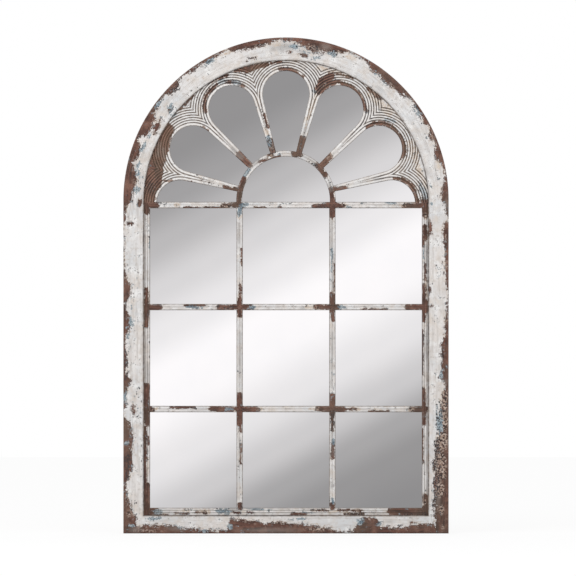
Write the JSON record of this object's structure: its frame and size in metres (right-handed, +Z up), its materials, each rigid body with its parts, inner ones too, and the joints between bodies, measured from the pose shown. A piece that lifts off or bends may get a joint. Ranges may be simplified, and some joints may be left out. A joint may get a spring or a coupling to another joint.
{
  "type": "arched window mirror",
  "caption": "Tall round-topped wall mirror built like a window: doweled wood frame, sash with glazing bars, carved fan, mirror sheet, back board and swinging hanger rings.",
  "frame": {"origin": "middle of the bottom edge, half way between the frame's face and the wall plane", "axes": "+Z up, the mirror looks towards -Y, +Y points into the wall, +X to the right seen from the front"},
  "size_m": [1.04, 0.045, 1.586],
  "materials": {
    "distressed_paint": "worn off-white paint over reddish-brown wood, with blue-grey undercoat showing in chips",
    "dowel_wood": "plain beech",
    "mirror": "silvered float glass",
    "hardboard": "plain brown hardboard",
    "zinc_steel": "zinc plated",
    "rubber": "matt black rubber"
  },
  "bodies": {
    "root": {"frame_arch_left_lower": "distressed_paint", "frame_arch_left_upper": "distressed_paint", "frame_arch_right_upper": "distressed_paint", "frame_arch_right_lower": "distressed_paint", "frame_stile_left": "distressed_paint", "frame_stile_right": "distressed_paint", "frame_bottom_rail": "distressed_paint", "frame_dowels": "dowel_wood", "sash_stile_left": "distressed_paint", "sash_stile_right": "distressed_paint", "sash_bottom_rail": "distressed_paint", "sash_transom": "distressed_paint", "muntin_bar_lower": "distressed_paint", "muntin_bar_upper": "distressed_paint", "muntin_post_left": "distressed_paint", "muntin_post_right": "distressed_paint", "fan_hub_arch": "distressed_paint", "fan_rib_1": "distressed_paint", "fan_rib_2": "distressed_paint", "fan_rib_3": "distressed_paint", "fan_rib_4": "distressed_paint", "fan_rib_5": "distressed_paint", "fan_rib_6": "distressed_paint", "fan_dowels": "dowel_wood", "mirror_glass": "mirror", "back_board": "hardboard", "back_board_screws": "zinc_steel", "hanger_strap_left": "zinc_steel", "hanger_strap_right": "zinc_steel", "hanger_screws": "zinc_steel", "wall_bumpers": "rubber"},
    "ring_left": {"hanger_ring_left": "zinc_steel"},
    "ring_right": {"hanger_ring_right": "zinc_steel"}
  },
  "joints": [
    {"name": "ring_left_swing", "type": "hinge", "parent": "root", "child": "ring_left", "pos_m": [-0.498, 0.019, 1.04], "axis": [1, 0, 0], "range_deg": [0, 180]},
    {"name": "ring_right_swing", "type": "hinge", "parent": "root", "child": "ring_right", "pos_m": [0.498, 0.019, 1.04], "axis": [1, 0, 0], "range_deg": [0, 180]}
  ]
}
